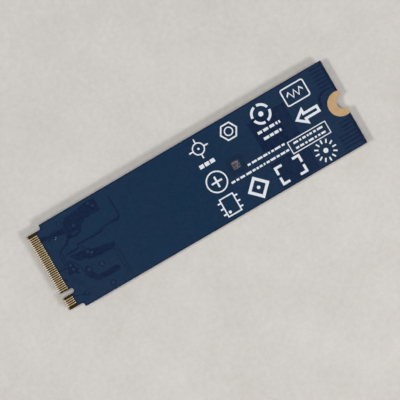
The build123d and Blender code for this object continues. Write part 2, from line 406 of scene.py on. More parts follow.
def board_laminate():
    """Mask over bare laminate on the faces, uncoated laminate on the tongue, glass layers on the walls."""
    finish = Finish("board_laminate", 0.3, specular=0.05)
    fabric = finish.spread(finish.noise(0.9, 3.0, 0.7), 0.35, 0.65, 0.0, 0.5)
    mask = mask_look(finish, (0.0036, 0.0128, 0.0458), (0.0048, 0.0127, 0.0454))
    mask = finish.mix(fabric, mask, (0.0088, 0.0255, 0.0740))
    weave = finish.mottle(0.25, 1.0, stretch=(1.0, 3.0, 1.0))
    bare = finish.mix(weave, (0.020, 0.0118, 0.0032), (0.037, 0.0215, 0.0066))
    uncoated = finish.maths("LESS_THAN", finish.axis("X"), (board_low.x + MASK_START) * MM)
    face = finish.mix(uncoated, mask, bare)
    layers = finish.spread(finish.noise(0.12, 1.0, stretch=(0.08, 0.08, 1.0)), 0.35, 0.65)
    wall = finish.mix(layers, (0.165, 0.135, 0.070), (0.260, 0.225, 0.130))
    milled = finish.mix(finish.mottle(0.2), (0.238, 0.193, 0.134), (0.344, 0.291, 0.219))
    cut = finish.mix(finish.level_share(0.6), wall, milled)
    finish.colour(finish.mix(finish.level_share(0.99), cut, face))
    return finish.material


def gold_plating(name, node):
    """Gold that a socket has wiped dull, with a painted highlight at both ends of each contact and painted
    shade along its sides.
    """
    finish = Finish(name, 0.45, metallic=0.4)
    low, high = solids_of(node)[0]
    middle = (low + high) / 2
    reach = (high.x - low.x) / 2
    wiped = finish.mix(finish.mottle(0.6), (0.33, 0.240, 0.113), (0.43, 0.320, 0.160))
    # Painted highlight: both ends of each contact are lighter
    ends = finish.spread(finish.distance("X", middle.x), 0.68 * reach * MM, 0.95 * reach * MM)
    wear_and_highlight = finish.mix(ends, wiped, (0.70, 0.62, 0.48))
    # Painted shade: the sides of each contact are darkened
    across = finish.maths("PINGPONG", finish.distance("Y", middle.y), CONTACT_PITCH / 2 * MM)
    sides = finish.spread(across, 0.085 * MM, 0.115 * MM)
    finish.colour(finish.mix(sides, wear_and_highlight, (0.022, 0.014, 0.006)))
    finish.bump(finish.noise(0.08, stretch=(0.15, 1.0, 1.0)), 0.0015)
    return finish.material


def legend_ink():
    """White print, a little worn."""
    finish = Finish("legend_ink", 0.55, specular=0.3)
    wear = finish.spread(finish.noise(0.18, 3.0), 0.3, 0.75)
    finish.colour(finish.mix(wear, (0.74, 0.78, 0.82), (0.62, 0.67, 0.72)))
    finish.bump(finish.noise(0.07), 0.004)
    return finish.material


# How far the carrier of a ball-grid package reaches down from the board
CARRIER_DEPTH = 0.47


def moulded_epoxy(name, on_carrier):
    """Black moulding with fine filler, and for a ball-grid package its dark green carrier."""
    finish = Finish(name, 0.6, specular=0.35)
    filler = finish.spread(finish.grains(0.045), 0.8, 1.0)
    colour = finish.mix(filler, (0.013, 0.013, 0.014), (0.030, 0.030, 0.031))
    if on_carrier:
        carrier = finish.maths("GREATER_THAN", finish.axis("Z"), (FRONT - CARRIER_DEPTH) * MM)
        green = finish.mix(finish.mottle(0.1, 2.0), (0.018, 0.030, 0.016), (0.030, 0.046, 0.024))
        colour = finish.mix(carrier, colour, green)
    finish.colour(colour)
    finish.roughness(finish.mottle(0.3, 2.0, low=0.52, high=0.66))
    finish.bump(finish.noise(0.04), 0.005)
    return finish.material


def inductor_composite():
    """Pressed iron powder with a lacquer."""
    finish = Finish("inductor_composite", 0.7, specular=0.35)
    powder = finish.grains(0.06)
    finish.colour(finish.mix(powder, (0.048, 0.049, 0.051), (0.105, 0.106, 0.108)))
    finish.bump(powder, 0.008, 0.6)
    return finish.material


def lid_metal():
    """Nickel lid, brushed along the board."""
    finish = Finish("lid_metal", 0.32, metallic=1.0)
    brushed = finish.mottle(0.06, 2.0, stretch=(0.1, 1.0, 1.0))
    finish.colour(finish.mix(brushed, (0.62, 0.58, 0.50), (0.74, 0.70, 0.62)))
    finish.roughness(finish.spread(brushed, 0.0, 1.0, 0.26, 0.4))
    finish.bump(brushed, 0.002)
    return finish.material


def two_tone(
    name, first, second, size, relief, depth, roughness,
    detail=3.0, relief_detail=2.0, patches=0.0, smoothest=0.0, **shader,
):
    """Two tones in blotches of a size, with a finer relief of a size and a depth, or smoother in patches."""
    finish = Finish(name, roughness, **shader)
    finish.colour(finish.mix(finish.mottle(size, detail), first, second))
    finish.bump(finish.noise(relief, relief_detail), depth)
    if patches:
        finish.roughness(finish.mottle(patches, 2.0, low=smoothest, high=roughness))
    return finish.material


def floor_board():
    """A plain pale tabletop with faint clouds."""
    finish = Finish("floor_board", 0.85, specular=0.1)
    clouds = finish.mottle(22.0, 8.0, 0.72, high=0.6)
    grain = finish.spread(finish.noise(1.3, 4.0, 0.8), 0.35, 0.65, 0.0, 0.4)
    blotches = finish.maths("ADD", clouds, grain)
    finish.colour(finish.mix(blotches, (0.560, 0.534, 0.505), (0.690, 0.665, 0.636)))
    finish.bump(finish.noise(1.5, 3.0), 0.02)
    return finish.material


COPPER_MASK = mask_over_copper("mask_over_copper", (0.0080, 0.0325, 0.0796), (0.0105, 0.0315, 0.0738))
PAD_MASK = mask_over_copper("mask_over_pad", (0.0160, 0.0410, 0.0880), (0.0180, 0.0415, 0.0850))
DULL_MASK = mask_over_copper("dull_mask", (0.0086, 0.0257, 0.0600), (0.0100, 0.0256, 0.0578))
LAMINATE = board_laminate()
BACK_GOLD = gold_plating("back_gold", "back_contacts")
FRONT_GOLD = gold_plating("front_gold", "front_contacts")
INK_WHITE = legend_ink()
GRID_EPOXY = moulded_epoxy("moulded_epoxy_on_carrier", True)
EPOXY = moulded_epoxy("moulded_epoxy", False)
COMPOSITE = inductor_composite()
LID = lid_metal()
# Metal in fine grains
SOLDER = two_tone(
    "solder", (0.58, 0.58, 0.57), (0.74, 0.74, 0.73),
    size=0.08, relief=0.06, depth=0.004, patches=0.1, smoothest=0.22, roughness=0.4, metallic=1.0,
)
TIN = two_tone(
    "tinned_metal", (0.55, 0.54, 0.52), (0.68, 0.67, 0.65),
    size=0.06, relief=0.05, depth=0.004, patches=0.12, smoothest=0.34, roughness=0.52, metallic=0.95,
)
# Matte tan plating round the notch
LAND = two_tone(
    "bare_land", (0.454, 0.294, 0.145), (0.505, 0.335, 0.179),
    size=1.1, relief=0.12, depth=0.004, relief_detail=3.0, roughness=0.5, metallic=0.35, specular=0.4,
)
# Freshly milled ends of the plating leads
LEAD = two_tone(
    "lead_metal", (0.51, 0.455, 0.345), (0.56, 0.52, 0.425),
    size=0.1, relief=0.05, depth=0.002, detail=2.0, roughness=0.5, metallic=0.5,
)
# Mask burnt by a marking beam
ETCHED = two_tone(
    "etched_brown", (0.030, 0.038, 0.064), (0.046, 0.052, 0.080),
    size=0.2, relief=0.05, depth=0.006, roughness=0.6, specular=0.2,
)
ETCHED_PALE = two_tone(
    "etched_pale", (0.190, 0.150, 0.155), (0.260, 0.205, 0.205),
    size=0.12, relief=0.05, depth=0.006, roughness=0.65, specular=0.2,
)
# Fired bodies of the chip parts and the crystal
CERAMIC = two_tone(
    "capacitor_ceramic", (0.235, 0.140, 0.070), (0.330, 0.205, 0.110),
    size=0.18, relief=0.05, depth=0.004, roughness=0.5,
)
WHITE_CERAMIC = two_tone(
    "alumina", (0.66, 0.65, 0.62), (0.76, 0.75, 0.72),
    size=0.1, relief=0.04, depth=0.003, roughness=0.6,
)
GLAZE = two_tone(
    "resistor_glaze", (0.010, 0.010, 0.011), (0.018, 0.018, 0.019),
    size=0.2, relief=0.12, depth=0.004, detail=2.0, roughness=0.3,
)
CRYSTAL = two_tone(
    "crystal_ceramic", (0.060, 0.052, 0.047), (0.090, 0.080, 0.072),
    size=0.1, relief=0.05, depth=0.003, roughness=0.6,
)

INDUCTORS = [f"power_inductor_{count}" for count in range(1, 5)]
BULK_CAPACITORS = [f"bulk_capacitor_{count}" for count in range(1, 5)]

# Finishes of the CAD nodes: the finish, the width that edges are softened by, and the nodes
NODE_FINISHES = (
    (LAMINATE, 0.0, "circuit_board"),
    (BACK_GOLD, 0.015, "back_contacts"),
    (FRONT_GOLD, 0.015, "front_contacts"),
    (LAND, 0.012, "castellation_plating"),
    (GRID_EPOXY, 0.04, "controller_package", "flash_package"),
    (SOLDER, 0.0, "controller_solder_balls", "flash_solder_balls"),
    (EPOXY, 0.03, "power_manager", "input_switch"),
    (TIN, 0.0, "power_manager_lands", "input_switch_lands"),
    (COMPOSITE, 0.05, *INDUCTORS),
    (TIN, 0.02, "inductor_terminals"),
    (CERAMIC, 0.03, *BULK_CAPACITORS),
    (TIN, 0.06, "bulk_capacitor_terminals"),
    (CERAMIC, 0.015, "coupling_capacitors"),
    (TIN, 0.025, "coupling_terminals", "resistor_terminals"),
    (WHITE_CERAMIC, 0.012, "resistor_bodies"),
    (GLAZE, 0.01, "resistor_overcoats"),
    (CERAMIC, 0.02, "decoupling_capacitors"),
    (TIN, 0.04, "decoupling_terminals"),
    (CRYSTAL, 0.03, "crystal_base"),
    (LID, 0.03, "crystal_lid"),
    (LEAD, 0.0, "crystal_pads"),
)


def soften_edges(node, width):
    """Live modifiers that join a node's loose triangles and round its sharp edges."""
    weld = node.modifiers.new("joined", "WELD")
    weld.merge_threshold = 1e-7
    bevel = node.modifiers.new("soft_edges", "BEVEL")
    bevel.width = width * MM
    bevel.segments = 2
    bevel.limit_method = "ANGLE"
    bevel.angle_limit = math.radians(40)


for finish, edge, *names in NODE_FINISHES:
    for name in names:
        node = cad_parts[name]
        node.data.materials.clear()
        node.data.materials.append(finish)
        if edge:
            soften_edges(node, edge)


# Copper film and vias under the mask, on both faces

VIA_RADIUS = 0.18
VIA_TIP = 0.08
VIA_RISE = 0.35 * INK
VIA_SPACING = 1.0
VIA_TO_EDGE = 0.9


def film_cuts(face):
    """Tools for the film of one face, with room for the key slot and the bare land at the notch."""
    cuts = Sheet(face - CUT_DEPTH)
    cuts.slot((0.0, KEY_T), (KEY_DEPTH - KEY_WIDTH / 2, KEY_T), KEY_WIDTH + 2 * COPPER_TO_EDGE, 32)
    cuts.disc(LAND_S, LAND_T, LAND_RADIUS + COPPER_TO_BARE, 64)
    return cuts


def copper_pour(name, level, cuts):
    """A film inside the board's edges, from the mask's start to the notched end, less its cuts."""
    near = MASK_START + COPPER_TO_BARE
    shoulder = TONGUE_LENGTH + COPPER_TO_EDGE
    far = BOARD_LENGTH - COPPER_TO_END
    tongue_side = SHOULDER + COPPER_TO_EDGE
    side = COPPER_TO_EDGE
    upper = [(near, tongue_side), (shoulder, tongue_side), (shoulder, side), (far, side)]
    lower = [(s, BOARD_WIDTH - t) for s, t in reversed(upper)]
    film = Sheet(level)
    film.polygon(upper + lower)
    pour = cut_away(film.raised(COPPER), cuts.raised(2 * CUT_DEPTH))
    add_piece(name, pour, COPPER_MASK)


def scatter(seed, count, reach, blocked):
    """Random spots (s, t), none too near to another or where the film is interrupted."""
    draw = random.Random(seed)
    placed = []
    while len(placed) < count:
        s = draw.uniform(*reach)
        t = draw.uniform(VIA_TO_EDGE, BOARD_WIDTH - VIA_TO_EDGE)
        crowded = any(math.hypot(s - other[0], t - other[1]) < VIA_SPACING for other in placed)
        if not crowded and not blocked(s, t):
            placed.append((s, t))
    return placed


def via_shape(height, side):
    """A low cone with its broad end towards the board."""
    low, high = (VIA_RADIUS, VIA_TIP)[::side]
    bm = bmesh.new()
    bmesh.ops.create_cone(bm, cap_ends=True, segments=12, radius1=low, radius2=high, depth=height)
    return new_mesh("stamp", bm)


def via_tents(name, spots, level, side):
    """Lacquered vias: low domes on the film of one face."""
    shape = via_shape(INK, side)
    bm = bmesh.new()
    for s, t in spots:
        stamp(bm, shape, at(s, t, level + side * VIA_RISE))
    add_piece(name, bm, COPPER_MASK, smooth=True)


def round_pads(name, level, height, spots, radius, sides, finish):
    """Discs of one size as one piece."""
    pads = Sheet(level)
    for s, t in spots:
        pads.disc(s, t, radius, sides)
    add_piece(name, pads.raised(height), finish)


# Back of the board

# Bare windows near the tongue and beside the notch, as corners (s, t)
BACK_WINDOWS = (
    ((2.7, 2.8), (3.6, 2.9), (4.6, 3.3), (6.3, 3.2), (8.8, 3.3), (9.1, 2.5), (10.1, 1.6), (12.7, 1.4),
     (15.2, 0.9), (18.4, 0.9), (18.4, 4.1), (14.3, 4.2), (13.1, 4.8), (11.7, 6.4), (10.6, 6.7), (8.3, 6.5),
     (8.2, 6.0), (8.5, 4.9), (6.2, 4.5), (4.7, 4.4), (4.3, 5.0), (3.9, 4.9), (4.1, 4.1), (2.7, 4.2)),
    ((6.6, 9.95), (8.9, 10.15), (11.4, 10.35), (12.0, 11.1), (13.7, 11.4), (17.5, 12.2), (17.4, 13.0),
     (16.4, 13.45), (10.8, 13.15), (9.5, 12.2), (8.7, 12.3), (7.6, 11.6)),
    ((5.2, 10.8), (6.4, 11.0), (6.6, 12.9), (7.4, 13.4), (7.4, 14.5), (6.4, 14.4), (5.4, 13.9),
     (4.3, 13.9), (4.2, 13.4), (5.0, 12.4)),
    ((7.9, 15.9), (9.7, 15.8), (10.2, 17.1), (12.2, 17.1), (15.0, 17.1), (15.8, 17.6), (15.7, 18.2),
     (14.9, 18.6), (10.2, 18.4), (9.4, 17.9), (8.4, 16.8)),
    ((57.9, 4.2), (60.5, 3.8), (65.0, 4.1), (67.7, 4.1), (67.6, 12.2), (62.0, 12.6), (58.1, 11.9)),
    ((57.8, 15.2), (62.0, 15.0), (67.7, 15.3), (67.6, 21.4), (57.9, 21.4)),
)

# A finger of copper left standing in the window by the tongue
BACK_FINGER = ((9.8, 5.4), (11.2, 5.4), (11.4, 6.0), (9.6, 6.1))

# Groups of fine lines beside the notch: their two ends in s, the first line's t and how many there are
LINE_GROUPS = ((64.8, 67.3, 4.6, 22), (58.3, 67.3, 15.6, 17))

# Narrow gaps between areas of the pour: width, then the run's spots (s, t)
BACK_GAPS = (
    (0.50, (21.5, 7.5), (20.9, 8.0), (17.7, 7.9), (16.8, 8.0), (15.9, 8.65), (9.8, 8.55), (9.2, 9.3),
     (6.4, 9.35)),
    (0.30, (21.5, 2.5), (21.55, 7.4)),
    (0.64, (8.6, 6.0), (7.4, 7.2)),
    (0.52, (7.4, 7.2), (6.3, 7.5), (5.1, 8.2)),
    (0.26, (5.0, 8.3), (4.65, 8.7), (4.65, 11.6)),
    (0.26, (5.3, 8.3), (5.3, 11.0)),
    (0.40, (2.7, 12.0), (4.4, 12.0), (5.1, 12.6)),
    (0.60, (2.7, 14.5), (3.1, 14.5)),
    (0.22, (6.5, 11.3), (7.8, 13.6), (7.8, 16.0)),
    (0.20, (16.6, 13.4), (16.6, 19.9), (16.2, 20.7)),
    (0.20, (17.5, 13.2), (17.5, 20.3)),
    (0.15, (4.6, 15.2), (5.1, 14.9), (6.3, 16.6), (6.1, 17.1), (5.4, 17.1), (4.6, 15.2)),
    (0.30, (2.7, 18.6), (4.3, 19.05), (4.9, 19.35), (6.5, 18.75)),
    (0.30, (4.9, 19.35), (5.95, 20.0), (6.4, 19.6)),
    (0.55, (77.2, 6.4), (75.3, 7.4), (74.9, 9.6)),
)

# Pads with a gap all round: spot (s, t), the gap's outer radius and its width
RINGED_PADS = (
    ((8.25, 2.15), 0.62, 0.24),
    ((10.35, 9.5), 0.42, 0.26),
    ((9.0, 14.9), 0.90, 0.45),
    ((12.3, 15.2), 0.76, 0.30),
    ((12.4, 20.4), 0.76, 0.30),
)

# Copper discs that stand alone in the windows
LONE_PADS = (
    (5.7, 11.95), (5.9, 13.1), (7.0, 14.05), (10.85, 11.2), (11.6, 11.75),
    (11.05, 4.15), (16.5, 1.4), (17.3, 2.5),
)
LONE_PAD_RADIUS = 0.34
PAD_RISE = 0.2 * INK

# A fence of open vias between the two lines behind the tongue
FENCE_S = (16.9, 17.2)
FENCE_T = tuple(13.9 + 0.7 * row for row in range(9))
FENCE_RADIUS = 0.12

# The comb of narrow gaps at the notched end, with longer gaps past COMB_LONG_T
COMB_START = 76.6
COMB_LONG_START = 74.9
COMB_LONG_T = 17.5
COMB_END = 79.55
COMB_PITCH = 0.95
COMB_WIDTH = 0.44
COMB_SPANS = ((0.9, 7.3), (15.0, 21.4))

# Vias on the plain part of the pour, which starts further on where t is small
BACK_VIAS = 130
BACK_VIA_REACH = (12.0, 41.0)
PLAIN_START = 18.0
PLAIN_LATE_START = 22.2
PLAIN_LATE_T = 14.2

# Two small tinned spots beside the tongue
TEST_POINTS = ((5.82, 4.95), (6.11, 4.6))
TEST_POINT_RADIUS = 0.06

# The etched square: its middle, its size and that of the dull mask round it, and its cells
ETCH_S = 51.0
ETCH_T = 11.1
ETCH_SIZE = 1.95
ETCH_CORNER = 0.08
ETCH_SURROUND = 4.3
ETCH_SURROUND_CORNER = 0.7
ETCH_CELLS = 10
ETCH_SHARE = 0.45
ETCH_FILL = 0.86


def comb_gaps(cuts):
    for first, last in COMB_SPANS:
        for index in range(int((last - first) / COMB_PITCH) + 1):
            t = first + index * COMB_PITCH
            begin = COMB_LONG_START if t > COMB_LONG_T else COMB_START
            cuts.slot((begin, t), (COMB_END, t), COMB_WIDTH)


def back_copper_pour():
    cuts = film_cuts(BACK)
    for corners in BACK_WINDOWS:
        cuts.polygon(corners)
    for width, *spots in BACK_GAPS:
        cuts.trench(width, *spots)
    for (s, t), radius, gap in RINGED_PADS:
        cuts.ring(s, t, radius, gap, 24)
    for row, t in enumerate(FENCE_T):
        cuts.disc(FENCE_S[row % 2], t, FENCE_RADIUS, 12)
    comb_gaps(cuts)
    copper_pour("back_copper_pour", BACK, cuts)


def back_lone_pads():
    """The pads in the windows and in the ringed gaps."""
    pads = Sheet(BACK)
    for s, t in LONE_PADS:
        pads.disc(s, t, LONE_PAD_RADIUS, 20)
    for (s, t), radius, gap in RINGED_PADS:
        pads.disc(s, t, radius - gap, 20)
    add_piece("back_lone_pads", pads.raised(COPPER + PAD_RISE), PAD_MASK)


def back_window_lines():
    lines = Sheet(BACK)
    lines.polygon(BACK_FINGER)
    for first, last, first_t, count in LINE_GROUPS:
        for line in range(count):
            t = first_t + line * LINE_PITCH
            lines.slot((first, t), (last, t), LINE_WIDTH, 8)
    add_piece("back_window_lines", lines.raised(COPPER), COPPER_MASK)


def back_via_tents():
    """Vias over the plain part of the pour, none on the gaps or under the legend."""
    def blocked(s, t):
        return s < PLAIN_START or s < PLAIN_LATE_START and t < PLAIN_LATE_T

    spots = scatter(80, BACK_VIAS, BACK_VIA_REACH, blocked)
    via_tents("back_via_tents", spots, BACK + COPPER, 1)


def etched_square():
    """A burnt square of random pale cells in a patch of dull mask."""
    draw = random.Random(22)
    surround = Sheet(BACK)
    surround.rounded(surround.bar(ETCH_S, ETCH_T, ETCH_SURROUND, ETCH_SURROUND), ETCH_SURROUND_CORNER)
    add_piece("etched_surround", surround.raised(COPPER + PAD_RISE), DULL_MASK)
    base = Sheet(BACK + COPPER)
    base.rounded(base.bar(ETCH_S, ETCH_T, ETCH_SIZE, ETCH_SIZE), ETCH_CORNER)
    add_piece("etched_square", base.raised(0.5 * INK), ETCHED)
    pitch = ETCH_SIZE / (ETCH_CELLS + 1)
    cells = Sheet(BACK + COPPER + 0.5 * INK)
    for column in range(ETCH_CELLS):
        for row in range(ETCH_CELLS):
            if draw.random() < ETCH_SHARE:
                s = ETCH_S + (column - (ETCH_CELLS - 1) / 2) * pitch
                t = ETCH_T + (row - (ETCH_CELLS - 1) / 2) * pitch
                cells.bar(s, t, ETCH_FILL * pitch, ETCH_FILL * pitch)
    add_piece("etched_cells", cells.raised(0.3 * INK), ETCHED_PALE)


# White legend: plain drawing signs and rows of blocks

BLOCK_LENGTHS = (0.45, 1.5)
BLOCK_GAPS = (0.22, 0.4)
BLOCK_LEAST = 0.3


def block_row(sheet, first, last, t, height, draw):
    """A row of plain blocks of uneven length."""
    s = first
    while s < last - BLOCK_LEAST:
        length = min(draw.uniform(*BLOCK_LENGTHS), last - s)
        sheet.bar(s + length / 2, t, length, height)
        s += length + draw.uniform(*BLOCK_GAPS)


def spokes(sheet, s, t, inner, outer, line, count):
    """Radial strokes between two radii."""
    length = outer - inner
    middle = inner + length / 2
    for spoke in range(count):
        turn = 2 * math.pi * spoke / count
        sheet.bar(s + middle * math.cos(turn), t - middle * math.sin(turn), length, line, turn)


def sighting_cross(sheet, s, t, radius, line=0.3, arm_line=0.32, hub=0.28):
    """A ring with four arms that stand outside it."""
    inner = 0.62 * radius
    sheet.ring(s, t, inner, line)
    spokes(sheet, s, t, inner, radius, arm_line, 4)
    sheet.disc(s, t, hub)


def tick_dial(sheet, s, t, radius, ticks, line=0.36):
    """A dial of radial strokes with a pointer hub."""
    spokes(sheet, s, t, 0.64 * radius, radius, line, ticks)
    sheet.disc(s, t, 0.22 * radius)


def nut_sign(sheet, s, t, radius, line=0.36, bore_line=0.28):
    sheet.ring(s, t, radius, line, 6)
    sheet.ring(s, t, 0.48 * radius, bore_line)


def gapped_ring(sheet, s, t, radius, line, parts, share):
    """A ring of equal arcs with gaps between them."""
    centre = sheet.spot(s, t)
    step = 2 * math.pi / parts
    for part in range(parts):
        way = Vector((math.cos(part * step), -math.sin(part * step), 0.0))
        ends = [sheet.bm.verts.new(centre + reach * way) for reach in (radius - line, radius)]
        edge = sheet.bm.edges.new(ends)
        bmesh.ops.spin(
            sheet.bm, geom=[*ends, edge], cent=centre, axis=(0.0, 0.0, 1.0), angle=-share * step, steps=6
        )


def zigzag_frame(sheet, s, t, length, width, line=0.32, corner=0.6, stroke=0.48, teeth=6):
    """A rounded frame round a zigzag line."""
    sheet.hollow(sheet.rounded(sheet.bar(s, t, length, width), corner), line)
    reach = 0.34 * length
    spots = []
    for index in range(teeth + 1):
        rise = 0.0 if index in (0, teeth) else 0.18 * width * (-1) ** index
        spots.append((s - reach + 2 * reach * index / teeth, t + rise))
    sheet.band(spots, stroke)


def broad_arrow(sheet, s, t, length, width, line=0.62):
    """A block arrow that points to the tongue."""
    head = 0.45 * length
    half = width / 2
    shaft = 0.42 * half
    tip = s - length / 2
    tail = s + length / 2
    upper = [(tip, t), (tip + head, t - half), (tip + head, t - shaft), (tail, t - shaft)]
    lower = [(x, 2 * t - y) for x, y in reversed(upper[1:])]
    sheet.hollow(sheet.polygon(upper + lower), line)


def plus_ring(sheet, s, t, radius, line=0.34, half=0.22):
    """A ring round a plus sign."""
    sheet.ring(s, t, radius, line)
    arm = 0.52 * radius
    quarter = [(half, arm), (-half, arm), (-half, half)]
    corners = []
    for cos, sin in ((1, 0), (0, 1), (-1, 0), (0, -1)):
        corners += [(s + x * cos - y * sin, t + x * sin + y * cos) for x, y in quarter]
    sheet.polygon(corners)


def chip_sign(sheet, s, t, length, width, line=0.32, leg_width=0.38, dot=0.36, dot_inset=1.0):
    """A square outline with short legs on two sides and a dot at its first corner."""
    body = 0.72 * length
    sheet.hollow(sheet.bar(s, t, body, width), line)
    leg = (length - body) / 2
    for side in (-1, 1):
        for row in (-1, 0, 1):
            sheet.bar(s + side * (body + leg) / 2, t + 0.3 * row * width, leg, leg_width)
    sheet.disc(s - 0.5 * body + dot_inset, t + 0.5 * width - dot_inset, dot)


def bored_diamond(sheet, s, t, radius, line=0.7, hub=0.42):
    corners = [(s + radius, t), (s, t + radius), (s - radius, t), (s, t - radius)]
    sheet.hollow(sheet.polygon(corners), line)
    sheet.disc(s, t, hub)


def corner_marks(sheet, s, t, length, width, arm, line):
    """Four right-angled corners round an empty field."""
    steps = ((0.0, 0.0), (arm, 0.0), (arm, line), (line, line), (line, arm), (0.0, arm))
    for across in (-1, 1):
        for along in (-1, 1):
            sheet.polygon([
                (s + across * (length / 2 - in_s), t + along * (width / 2 - in_t)) for in_s, in_t in steps
            ])


def back_legend():
    """Each sign and row at its place (s, t) and size."""
    draw = random.Random(5)
    sheet = Sheet(BACK)
    sighting_cross(sheet, 45.3, 3.5, 2.5)
    for block in (-1, 0, 1):
        sheet.bar(45.3 + 1.42 * block, 7.5, 1.15, 0.95)
    plus_ring(sheet, 45.15, 12.3, 2.65)
    chip_sign(sheet, 45.2, 18.55, 5.2, 4.8)
    nut_sign(sheet, 53.4, 3.5, 2.3)
    gapped_ring(sheet, 61.9, 3.8, 2.5, 0.62, 4, 0.8)
    sheet.disc(61.9, 3.8, 0.6)
    block_row(sheet, 59.0, 64.9, 7.45, 0.66, draw)
    block_row(sheet, 59.6, 64.6, 9.25, 0.66, draw)
    zigzag_frame(sheet, 71.2, 3.55, 6.2, 4.5)
    broad_arrow(sheet, 71.1, 9.35, 6.4, 4.5)
    block_row(sheet, 53.3, 63.4, 12.6, 0.5, draw)
    block_row(sheet, 47.95, 63.4, 14.3, 0.5, draw)
    sheet.hollow(sheet.bar(68.85, 14.2, 10.2, 3.2), 0.22)
    block_row(sheet, 65.0, 72.9, 13.55, 0.5, draw)
    block_row(sheet, 65.0, 72.9, 14.85, 0.5, draw)
    bored_diamond(sheet, 52.9, 18.3, 2.9)
    corner_marks(sheet, 61.5, 18.55, 6.8, 4.7, 2.0, 0.6)
    tick_dial(sheet, 70.7, 18.75, 2.7, 12)
    add_piece("back_legend", sheet.raised(COPPER + INK), INK_WHITE)


back_copper_pour()
back_lone_pads()
back_window_lines()
back_via_tents()
round_pads("back_test_points", BACK, COPPER + INK, TEST_POINTS, TEST_POINT_RADIUS, 12, TIN)
etched_square()
back_legend()


# Front of the board, under it: film, traces, solder and legend

# The transmit pairs behind the tongue: from the contacts to a coupling capacitor, and on to a via
LANES = [place_of(box) for box in solids_of("coupling_capacitors")]
LANE_WINDOW = 0.62
LANE_TRACE = 0.16
LANE_TO_PART = 0.35
LANE_VIA_S = 7.75
LANE_VIA_RADIUS = 0.2
LANE_TO_VIA = 0.3

# The bus between the two large packages: where the middle of each group starts, turns and ends (s, t)
BUS_GROUPS = (
    ((31.2, 7.2), (40.0, 7.2), (41.6, 5.6), (58.0, 5.6)),
    ((31.2, 12.4), (43.0, 12.4), (44.6, 14.0), (58.0, 14.0)),
)
BUS_LINES = 9
BUS_INSET = 0.3
BUS_VIA_STEP = 0.42
BUS_REACH = (BUS_LINES - 1) / 2 * LINE_PITCH + 0.35

# Bare round marks that a placing machine finds the board by, and two rows of test pads
FIDUCIALS = ((34.6, 2.0), (56.6, 2.0), (56.6, 19.8))
FIDUCIAL_RADIUS = 0.5
TEST_PADS = [(37.0 + 1.27 * column, t) for column in range(6) for t in (18.3, 19.57)]
TEST_PAD_RADIUS = 0.4

FRONT_VIAS = 70
FRONT_VIA_REACH = (31.4, 58.0)

# Each kind of chip part: its caps, its bodies and how far the solder spreads
SOLDERED = (
    ("coupling_terminals", ["coupling_capacitors"], 0.09),
    ("resistor_terminals", ["resistor_bodies"], 0.22),
    ("decoupling_terminals", ["decoupling_capacitors"], 0.24),
    ("bulk_capacitor_terminals", BULK_CAPACITORS, 0.22),
    ("inductor_terminals", INDUCTORS, 0.2),
)

# Steps of a fillet: its rise as a share of the cap's height, and its reach as a share of the spread
FILLET_STEPS = ((0.0, 1.0), (0.18, 0.45), (0.6, 0.08))
FILLET_SIDE_SHARE = 0.6

# How much taller than its place a ball is before it is pressed flat
BALL_PRESS = 1.24

# Plating leads on the bevels
LEAD_WIDTH = 0.2
LEAD_THICKNESS = 0.03
LEAD_SHARE = 0.92

# Corner marks: the room they leave, the length of their arms, their line, and the parts they are round
MARKED_PARTS = (
    (0.7, 1.4, 0.16, "controller_package", "flash_package"),
    (0.5, 0.6, 0.13, "power_manager", "input_switch", "crystal_base"),
)
DOTTED_PARTS = ("controller_package", "flash_package")
DOT_RADIUS = 0.22
DOT_GAP = 0.3


def front_copper_pour():
    """The film on the component side, with windows round the transmit pairs, the bus and the marks."""
    cuts = film_cuts(FRONT)
    for s, t in LANES:
        cuts.slot((MASK_START, t), (LANE_VIA_S + LANE_VIA_RADIUS, t), LANE_WINDOW)
    for middle in BUS_GROUPS:
        cuts.band(middle, 2 * BUS_REACH)
    for s, t in FIDUCIALS:
        cuts.disc(s, t, 2 * FIDUCIAL_RADIUS, 32)
    copper_pour("front_copper_pour", FRONT - COPPER, cuts)


def front_lane_traces():
    traces = Sheet(FRONT - COPPER)
    for s, t in LANES:
        traces.slot((CONTACT_END, t), (s - LANE_TO_PART, t), LANE_TRACE, 8)
        traces.slot((s + LANE_TO_PART, t), (LANE_VIA_S - LANE_TO_VIA, t), LANE_TRACE, 8)
        traces.disc(LANE_VIA_S, t, LANE_VIA_RADIUS, 16)
    add_piece("front_lane_traces", traces.raised(COPPER), COPPER_MASK)


def front_bus_traces():
    """Two groups of lines from the controller to the memory, which go down through vias at both ends."""
    height = COPPER + INK
    shape = via_shape(height, -1)
    ends = []
    sheet = Sheet(FRONT - COPPER)
    for middle in BUS_GROUPS:
        (first_s, first_t), *turns, (last_s, last_t) = middle
        for line in range(BUS_LINES):
            inset = BUS_INSET + BUS_VIA_STEP * (line % 2)
            offset = (line - (BUS_LINES - 1) / 2) * LINE_PITCH
            spots = [(first_s + inset, first_t), *turns, (last_s - inset, last_t)]
            sheet.band(spots, LINE_WIDTH, offset)
            ends += [(s, t + offset) for s, t in (spots[0], spots[-1])]
    bm = sheet.raised(COPPER)
    for s, t in ends:
        stamp(bm, shape, at(s, t, FRONT - height / 2))
    add_piece("front_bus_traces", bm, COPPER_MASK)


def front_via_tents():
    """Vias over the plain part of the film, clear of the bus, the marks, the pads and the crystal."""
    crystal = place_of(node_box("crystal_base"))
    marks = [(spot, 4 * FIDUCIAL_RADIUS) for spot in (*FIDUCIALS, crystal)]
    marks += [(spot, 2 * TEST_PAD_RADIUS) for spot in TEST_PADS]
    bus_rows = [[t for s, t in middle] for middle in BUS_GROUPS]
    clear_of_bus = BUS_REACH + 2 * VIA_RADIUS

    def blocked(s, t):
        on_bus = any(min(rows) - clear_of_bus < t < max(rows) + clear_of_bus for rows in bus_rows)
        return on_bus or any(math.hypot(s - spot[0], t - spot[1]) < clear for spot, clear in marks)

    spots = scatter(31, FRONT_VIAS, FRONT_VIA_REACH, blocked)
    via_tents("front_via_tents", spots, FRONT - COPPER, -1)


